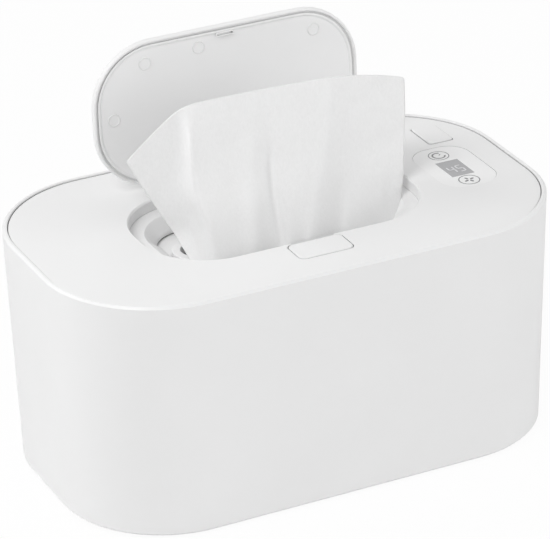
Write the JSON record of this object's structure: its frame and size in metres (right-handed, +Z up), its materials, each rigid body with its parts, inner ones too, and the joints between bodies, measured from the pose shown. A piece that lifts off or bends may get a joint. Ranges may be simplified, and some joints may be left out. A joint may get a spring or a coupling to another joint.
{
  "type": "baby wipe warmer",
  "caption": "Tub-shaped white wipe warmer with a lift-off cover, a sprung hinged lid over a dispensing slot, push keys and a touch panel.",
  "frame": {"origin": "on the table, under the middle of the housing", "axes": "+Z up, +X towards the control panel, +Y towards the lid's hinge"},
  "size_m": [0.24, 0.1446, 0.1849],
  "materials": {
    "shell_plastic": "satin moulded white ABS",
    "base_plastic": "fine-textured white ABS",
    "foot_rubber": "soft grey rubber",
    "screw_steel": "zinc-plated steel",
    "liner_plastic": "polished white polypropylene",
    "heater_film": "amber polyimide film",
    "insulation_foam": "closed-cell foam",
    "electric_plastic": "black thermoplastic",
    "board_laminate": "green glass-fibre board",
    "nonwoven": "soft white nonwoven cloth",
    "cover_plastic": "satin moulded white ABS",
    "seal_silicone": "translucent white silicone",
    "gate_silicone": "white silicone",
    "panel_film": "printed white overlay film",
    "display_grey": "grey display window",
    "pad_foam": "conductive foam",
    "contact_metal": "gold-plated pins in a carrier",
    "lid_plastic": "satin moulded white ABS",
    "pin_steel": "bright steel",
    "spring_steel": "spring steel",
    "button_plastic": "satin moulded white ABS",
    "slider_acetal": "natural acetal"
  },
  "bodies": {
    "base": {"outer_shell": "shell_plastic", "base_plate": "base_plastic", "rubber_feet": "foot_rubber", "base_screws": "screw_steel", "inner_liner": "liner_plastic", "heating_film": "heater_film", "insulation_sleeve": "insulation_foam", "temperature_sensor": "electric_plastic", "thermal_cutout": "electric_plastic", "main_board": "board_laminate", "power_inlet": "electric_plastic", "contact_block": "electric_plastic", "wipe_stack": "nonwoven"},
    "cover": {"top_cover": "cover_plastic", "cover_base": "cover_plastic", "cover_screws": "screw_steel", "cover_seal": "seal_silicone", "slot_gate": "gate_silicone", "control_panel": "panel_film", "display_board": "board_laminate", "display_module": "display_grey", "touch_pads": "pad_foam", "contact_pins": "contact_metal", "hinge_pins": "pin_steel", "hinge_springs": "spring_steel", "lid_latch_spring": "spring_steel", "cover_catch_spring": "spring_steel", "wipe_sheet": "nonwoven"},
    "lid": {"lid_skin": "lid_plastic", "lid_inner": "lid_plastic"},
    "lid_button": {"lid_button": "button_plastic"},
    "lid_latch": {"lid_latch": "slider_acetal"},
    "cover_button": {"cover_button": "button_plastic"},
    "cover_catch": {"cover_catch": "slider_acetal"}
  },
  "joints": [
    {"name": "cover_lift", "type": "slide", "parent": "base", "child": "cover", "axis": [0, 0, 1], "range_m": [0, 0.12]},
    {"name": "lid_hinge", "type": "hinge", "parent": "cover", "child": "lid", "pos_m": [-0.001, 0.0415, 0.1074], "axis": [1, 0, 0], "range_deg": [0, 91.6], "stiffness_Nm_per_rad": 0.0175, "springref_deg": -40.11, "deforming": ["wipe_sheet", "hinge_springs"]},
    {"name": "lid_button_press", "type": "slide", "parent": "cover", "child": "lid_button", "axis": [0, 0, -1], "range_m": [0, 0.002], "stiffness_N_per_m": 300, "springref_m": -0.001},
    {"name": "lid_latch_slide", "type": "slide", "parent": "cover", "child": "lid_latch", "axis": [0, -1, 0], "range_m": [0, 0.002], "deforming": ["lid_latch_spring"]},
    {"name": "cover_button_press", "type": "slide", "parent": "cover", "child": "cover_button", "axis": [0, 0, -1], "range_m": [0, 0.002], "stiffness_N_per_m": 300, "springref_m": -0.001},
    {"name": "cover_catch_slide", "type": "slide", "parent": "cover", "child": "cover_catch", "axis": [-0.8824, -0.4706, 0], "range_m": [0, 0.002], "deforming": ["cover_catch_spring"]}
  ],
  "couplings": [
    {"joint": "lid_latch_slide", "follows": "lid_button_press", "ratio": 1},
    {"joint": "cover_catch_slide", "follows": "cover_button_press", "ratio": 1}
  ]
}
